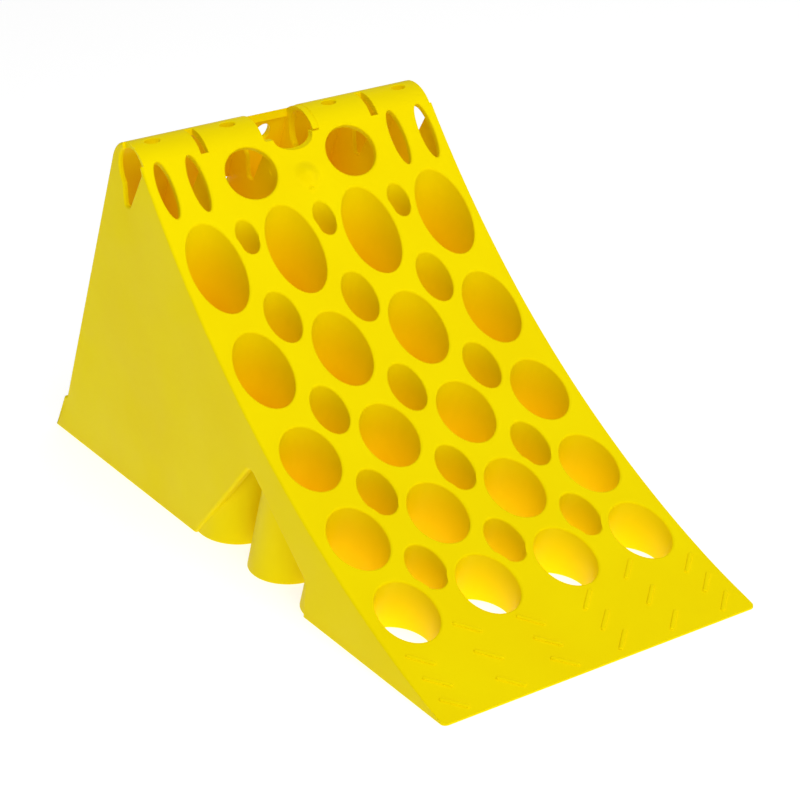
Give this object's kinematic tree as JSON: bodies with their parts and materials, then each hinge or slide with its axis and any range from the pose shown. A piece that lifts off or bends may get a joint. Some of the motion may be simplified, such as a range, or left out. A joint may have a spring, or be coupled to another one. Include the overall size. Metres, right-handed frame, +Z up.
{
  "type": "wheel chock",
  "caption": "Hollow moulded wheel chock with a concave perforated ramp, rounded ridge with a grip opening, and a tread-barred toe.",
  "frame": {"origin": "middle of the footprint, on the ground plane", "axes": "+X toward the toe (the thin end that goes under the tyre), +Y across the chock, +Z up"},
  "size_m": [0.47, 0.2, 0.227],
  "materials": {
    "yellow_plastic": "satin, moulded, yellow all through"
  },
  "bodies": {
    "root": {"grip_web_left": "yellow_plastic", "grip_web_right": "yellow_plastic", "ramp_apron": "yellow_plastic", "ramp_row_a": "yellow_plastic", "ramp_row_b": "yellow_plastic", "ramp_row_c": "yellow_plastic", "ramp_row_d": "yellow_plastic", "ramp_row_e": "yellow_plastic", "rear_foot": "yellow_plastic", "rear_wall": "yellow_plastic", "ridge_grip": "yellow_plastic", "ridge_left": "yellow_plastic", "ridge_right": "yellow_plastic", "side_wall_left_rear": "yellow_plastic", "side_wall_left_toe": "yellow_plastic", "side_wall_right_rear": "yellow_plastic", "side_wall_right_toe": "yellow_plastic", "slot_web_left": "yellow_plastic", "slot_web_right": "yellow_plastic", "small_tube_0a": "yellow_plastic", "small_tube_0b": "yellow_plastic", "small_tube_0c": "yellow_plastic", "small_tube_1a": "yellow_plastic", "small_tube_1b": "yellow_plastic", "small_tube_1c": "yellow_plastic", "small_tube_2a": "yellow_plastic", "small_tube_2b": "yellow_plastic", "small_tube_2c": "yellow_plastic", "small_tube_3a": "yellow_plastic", "small_tube_3b": "yellow_plastic", "small_tube_3c": "yellow_plastic", "small_tube_4a": "yellow_plastic", "small_tube_4b": "yellow_plastic", "small_tube_4c": "yellow_plastic", "toe_plate": "yellow_plastic", "tube_a1": "yellow_plastic", "tube_a2": "yellow_plastic", "tube_a3": "yellow_plastic", "tube_a4": "yellow_plastic", "tube_b1": "yellow_plastic", "tube_b2": "yellow_plastic", "tube_b3": "yellow_plastic", "tube_b4": "yellow_plastic", "tube_c1": "yellow_plastic", "tube_c2": "yellow_plastic", "tube_c3": "yellow_plastic", "tube_c4": "yellow_plastic", "tube_d1": "yellow_plastic", "tube_d2": "yellow_plastic", "tube_d3": "yellow_plastic", "tube_d4": "yellow_plastic", "tube_e1": "yellow_plastic", "tube_e2": "yellow_plastic", "tube_e3": "yellow_plastic", "tube_e4": "yellow_plastic"}
  },
  "joints": []
}
